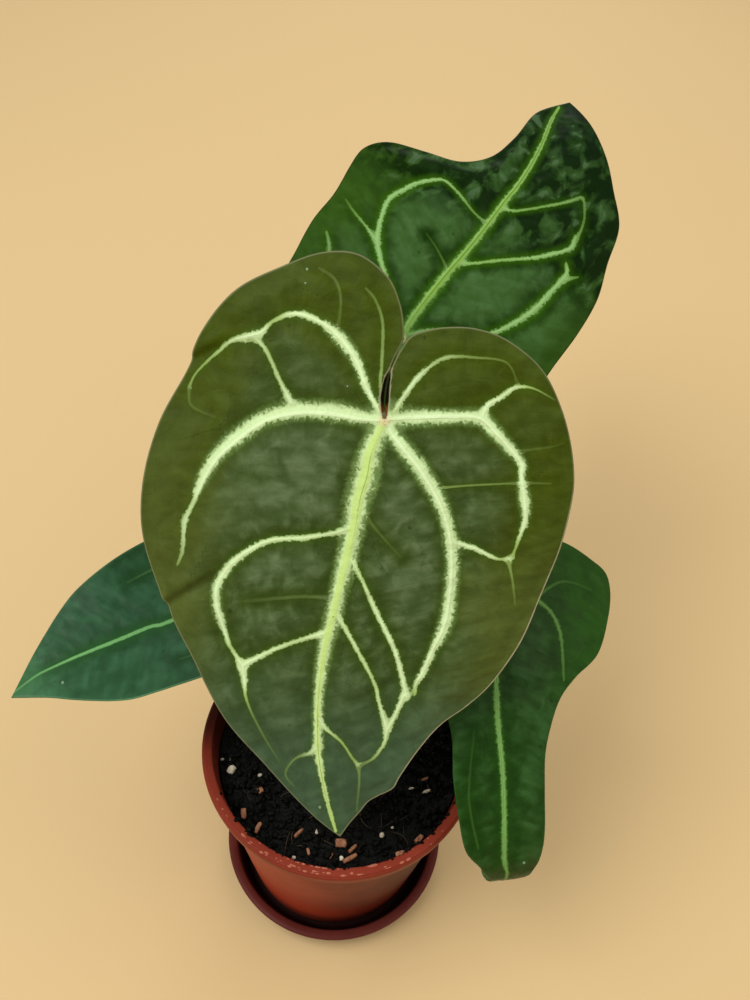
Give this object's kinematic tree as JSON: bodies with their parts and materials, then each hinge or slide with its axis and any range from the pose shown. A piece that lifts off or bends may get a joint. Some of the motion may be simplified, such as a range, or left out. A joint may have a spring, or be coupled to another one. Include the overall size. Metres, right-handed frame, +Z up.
{
  "type": "potted anthurium regale",
  "caption": "Potted foliage plant: large heart-shaped leaves with a raised pale vein net on slender stalks, in a tapered round nursery pot of potting mix that stands on a shallow saucer.",
  "frame": {"origin": "middle of the saucer's flat underside, on the pot's axis", "axes": "+Z up along the pot's axis, -Y towards the side that the large front leaf faces, +X to the right of that view"},
  "size_m": [0.2407, 0.3304, 0.2955],
  "materials": {
    "saucer": "satin",
    "pot": "satin",
    "soil": "matte",
    "crown": "matte",
    "stalks": "satin",
    "leaf_front": "satin",
    "leaf_back": "satin",
    "leaf_left": "satin",
    "leaf_low": "satin"
  },
  "bodies": {
    "root": {"saucer": "saucer", "pot": "pot", "soil": "soil", "crown": "crown", "stalk_front": "stalks", "stalk_back": "stalks", "stalk_left": "stalks", "stalk_low": "stalks", "leaf_front": "leaf_front", "leaf_back": "leaf_back", "leaf_left": "leaf_left", "leaf_low": "leaf_low"}
  },
  "joints": []
}
